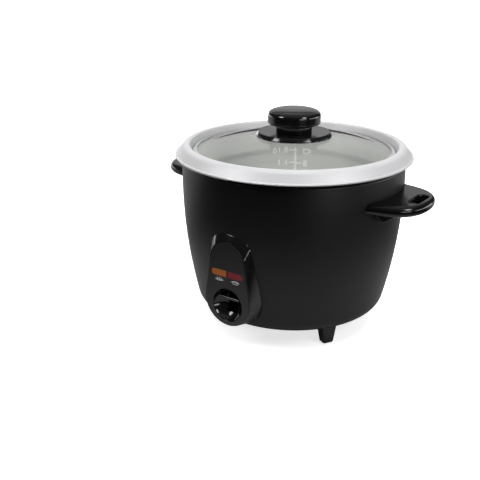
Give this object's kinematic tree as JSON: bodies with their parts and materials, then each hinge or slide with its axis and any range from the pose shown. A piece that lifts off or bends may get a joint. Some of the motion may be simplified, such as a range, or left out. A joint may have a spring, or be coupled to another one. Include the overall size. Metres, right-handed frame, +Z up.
{
  "type": "rice cooker",
  "caption": "Round black electric rice cooker with a silver flanged pot, domed glass lid, ear handles and a press lever.",
  "frame": {"origin": "centre of the cooker at the level of the feet", "axes": "+Z up, front panel faces -Y, handles along X"},
  "size_m": [0.311, 0.25, 0.2334],
  "materials": {
    "body_paint": "satin black paint",
    "liner_metal": "satin",
    "base_metal": "satin",
    "foot_plastic": "satin",
    "handle_plastic": "satin",
    "panel_gloss": "gloss",
    "panel_film": "satin",
    "lens_amber": "gloss",
    "lens_red": "gloss",
    "lamp_glass": "clear",
    "holder_plastic": "satin",
    "cast_aluminium": "turned",
    "pot_aluminium": "satin",
    "sensor_aluminium": "satin",
    "element_steel": "satin",
    "bracket_steel": "plated",
    "screw_steel": "plated",
    "spring_steel": "drawn",
    "ferrite": "matte",
    "ceramic_body": "matte",
    "pin_brass": "plated",
    "lead_cover": "matte",
    "lid_glass": "clear",
    "band_steel": "polished",
    "gasket_rubber": "matte"
  },
  "bodies": {
    "cooker": {"outer_shell": "body_paint", "inner_liner": "liner_metal", "base_plate": "base_metal", "foot_right": "foot_plastic", "foot_rear": "foot_plastic", "foot_left": "foot_plastic", "handle_left": "handle_plastic", "handle_right": "handle_plastic", "control_panel": "panel_gloss", "panel_overlay": "panel_film", "warm_lens": "lens_amber", "cook_lens": "lens_red", "warm_lamp": "lamp_glass", "cook_lamp": "lamp_glass", "lamp_holder": "holder_plastic", "micro_switch": "holder_plastic", "inlet_socket": "holder_plastic", "heater_plate": "cast_aluminium", "heating_element": "element_steel", "thermostat_frame": "bracket_steel", "lever_bracket": "bracket_steel", "fuse_clip": "bracket_steel", "heater_spacers": "bracket_steel", "lever_pin": "bracket_steel", "base_screws": "screw_steel", "foot_screws": "screw_steel", "handle_screws": "screw_steel", "panel_screws": "screw_steel", "heater_screws": "screw_steel", "frame_screws": "screw_steel", "bracket_screws": "screw_steel", "inlet_screws": "screw_steel", "sensor_spring": "spring_steel", "lever_spring": "spring_steel", "thermal_fuse": "ceramic_body", "warm_thermostat": "ceramic_body", "inlet_pins": "pin_brass", "lead_live": "lead_cover", "lead_neutral": "lead_cover", "lead_earth": "lead_cover"},
    "pot": {"inner_pot": "pot_aluminium"},
    "lid": {"lid_glass": "lid_glass", "lid_band": "band_steel", "lid_knob": "panel_gloss", "knob_skirt": "panel_gloss", "knob_gasket": "gasket_rubber", "knob_washer": "bracket_steel", "knob_screw": "screw_steel"},
    "lever": {"cook_lever": "panel_gloss", "lever_arm": "bracket_steel", "lever_rivets": "bracket_steel"},
    "plunger": {"magnet": "ferrite", "magnet_plunger": "bracket_steel", "plunger_clip": "bracket_steel"},
    "sensor": {"sensor_cap": "sensor_aluminium", "ferrite_disc": "ferrite"}
  },
  "joints": [
    {"name": "pot_lift", "type": "slide", "parent": "cooker", "child": "pot", "axis": [0, 0, 1], "range_m": [0, 0.16]},
    {"name": "lid_lift", "type": "slide", "parent": "pot", "child": "lid", "axis": [0, 0, 1], "range_m": [0, 0.1]},
    {"name": "cook_press", "type": "hinge", "parent": "cooker", "child": "lever", "pos_m": [0, -0.06, 0.0331], "axis": [1, 0, 0], "range_deg": [0, 7.5], "stiffness_Nm_per_rad": 0.6, "springref_deg": -8.59},
    {"name": "plunger_lift", "type": "slide", "parent": "cooker", "child": "plunger", "axis": [0, 0, 1], "range_m": [0, 0.0079]},
    {"name": "sensor_rise", "type": "slide", "parent": "cooker", "child": "sensor", "axis": [0, 0, 1], "range_m": [0, 0.0046], "deforming": ["sensor_spring"]}
  ],
  "couplings": [
    {"joint": "plunger_lift", "follows": "cook_press", "m_per_rad": 0.06},
    {"joint": "sensor_rise", "follows": "pot_lift", "ratio": 0.028125}
  ]
}
